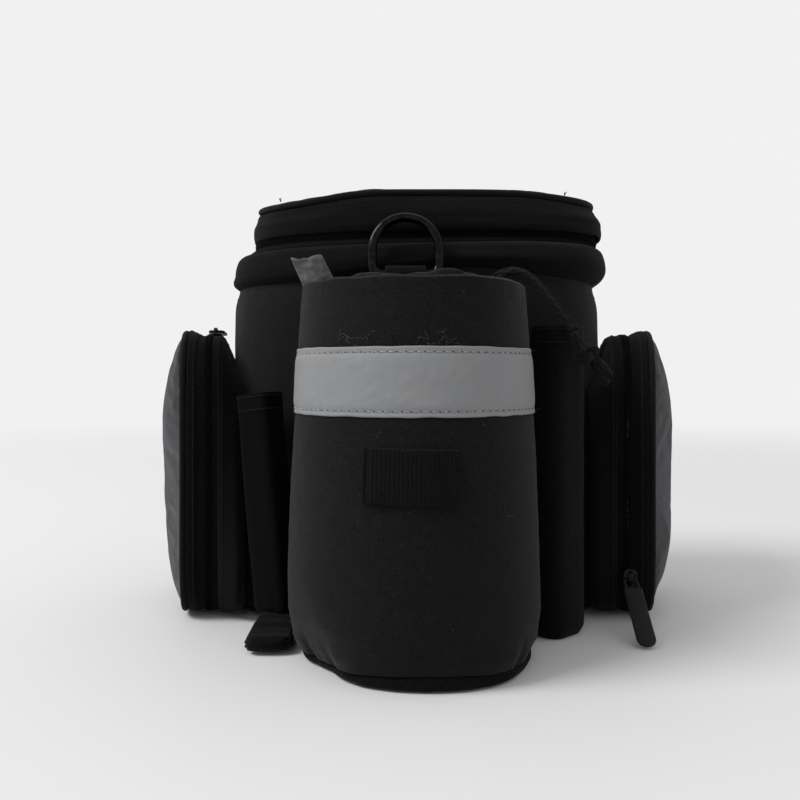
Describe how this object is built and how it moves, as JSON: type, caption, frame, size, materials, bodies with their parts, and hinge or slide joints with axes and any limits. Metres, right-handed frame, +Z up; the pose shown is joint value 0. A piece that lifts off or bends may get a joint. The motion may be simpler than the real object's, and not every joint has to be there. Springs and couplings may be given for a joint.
{
  "type": "treat pouch",
  "caption": "Upright padded belt pouch with a hinged zip lid, a round drawstring sleeve in front, zipped side pockets and slim corner pockets.",
  "frame": {"origin": "on the floor, under the middle of the main body", "axes": "+X to the right seen from the front, +Y towards the back, where the belt loops are, and +Z up"},
  "size_m": [0.2492, 0.2221, 0.2025],
  "materials": {
    "shell_fabric": "matt black woven polyester",
    "lining_fabric": "thin dark grey nylon with a slight sheen",
    "foam": "soft closed-cell foam",
    "base_board": "matt polyethylene board",
    "webbing": "ribbed black webbing",
    "piping": "woven binding over cord",
    "zip_tape": "fine black zip tape",
    "reflective_tape": "grey reflective tape, satin",
    "gunmetal": "glossy black plated metal",
    "puller_rubber": "matt moulded rubber",
    "cord": "braided black cord"
  },
  "bodies": {
    "bag": {"base_panel": "shell_fabric", "base_board": "base_board", "body_shell": "shell_fabric", "body_foam": "foam", "body_lining": "lining_fabric", "body_collar": "shell_fabric", "lid_zip_tape_lower": "zip_tape", "lid_hinge_tape": "webbing", "sleeve_base": "shell_fabric", "sleeve_shell": "shell_fabric", "sleeve_hem": "shell_fabric", "sleeve_gathered_mouth": "lining_fabric", "reflective_strip": "reflective_tape", "light_loop_webbing": "webbing", "d_ring_tab": "webbing", "right_pocket_inner_half": "shell_fabric", "right_pocket_zip_tape_inner": "zip_tape", "left_pocket_inner_half": "shell_fabric", "left_pocket_zip_tape_inner": "zip_tape", "right_slim_pocket": "shell_fabric", "left_slim_pocket": "shell_fabric", "left_corner_tab": "webbing", "rear_panel": "shell_fabric", "belt_loop_left": "webbing", "belt_loop_right": "webbing", "drawcord_front_strand": "cord", "drawcord_rear_strand": "cord", "drawcord_knot": "cord"},
    "lid": {"lid_zip_tape_upper": "zip_tape", "lid_side_band": "shell_fabric", "lid_piping": "piping", "lid_top_panel": "shell_fabric", "lid_foam": "foam", "lid_lining": "lining_fabric"},
    "ring": {"d_ring": "gunmetal"},
    "right_cover": {"right_pocket_cover": "shell_fabric", "right_pocket_zip_tape_outer": "zip_tape", "right_pocket_piping": "piping"},
    "left_cover": {"left_pocket_cover": "shell_fabric", "left_pocket_zip_tape_outer": "zip_tape", "left_pocket_piping": "piping"},
    "right_pocket_pull": {"right_pocket_slider": "gunmetal"},
    "right_pull_tab": {"right_pocket_puller": "puller_rubber"},
    "left_pocket_pull": {"left_pocket_slider": "gunmetal"},
    "left_pull_tab": {"left_pocket_puller": "puller_rubber"},
    "lid_pull": {"lid_slider": "gunmetal"},
    "lid_pull_tab": {"lid_puller": "puller_rubber"}
  },
  "joints": [
    {"name": "lid_hinge", "type": "hinge", "parent": "bag", "child": "lid", "pos_m": [0.005, 0.056, 0.178], "axis": [-1, 0, 0], "range_deg": [0, 105]},
    {"name": "d_ring_swing", "type": "hinge", "parent": "bag", "child": "ring", "pos_m": [-0.0055, -0.068, 0.158], "axis": [1, 0, 0], "range_deg": [0, 95]},
    {"name": "right_cover_hinge", "type": "hinge", "parent": "bag", "child": "right_cover", "pos_m": [0.10855, 0.03378, 0.067], "axis": [0, 0, 1], "range_deg": [0, 100]},
    {"name": "left_cover_hinge", "type": "hinge", "parent": "bag", "child": "left_cover", "pos_m": [-0.10855, 0.03378, 0.067], "axis": [0, 0, -1], "range_deg": [0, 100]},
    {"name": "right_slider_travel", "type": "slide", "parent": "bag", "child": "right_pocket_pull", "axis": [0, 0, 1], "range_m": [0, 0.08]},
    {"name": "right_puller_swing", "type": "hinge", "parent": "right_pocket_pull", "child": "right_pull_tab", "pos_m": [0.09587, -0.06098, 0.021], "axis": [-0.9903, 0.1392, 0], "range_deg": [0, 110]},
    {"name": "left_slider_travel", "type": "slide", "parent": "bag", "child": "left_pocket_pull", "axis": [0.1392, -0.9903, 0], "range_m": [0, 0.022]},
    {"name": "left_puller_swing", "type": "hinge", "parent": "left_pocket_pull", "child": "left_pull_tab", "pos_m": [-0.1024, -0.0054, 0.136], "axis": [0.9903, 0.1392, 0], "range_deg": [0, 110]},
    {"name": "lid_slider_travel", "type": "slide", "parent": "bag", "child": "lid_pull", "axis": [0, 1, 0], "range_m": [-0.03, 0.015]},
    {"name": "lid_puller_swing", "type": "hinge", "parent": "lid_pull", "child": "lid_pull_tab", "pos_m": [0.0953, 0.01, 0.178], "axis": [0, 0, -1], "range_deg": [0, 110]}
  ]
}
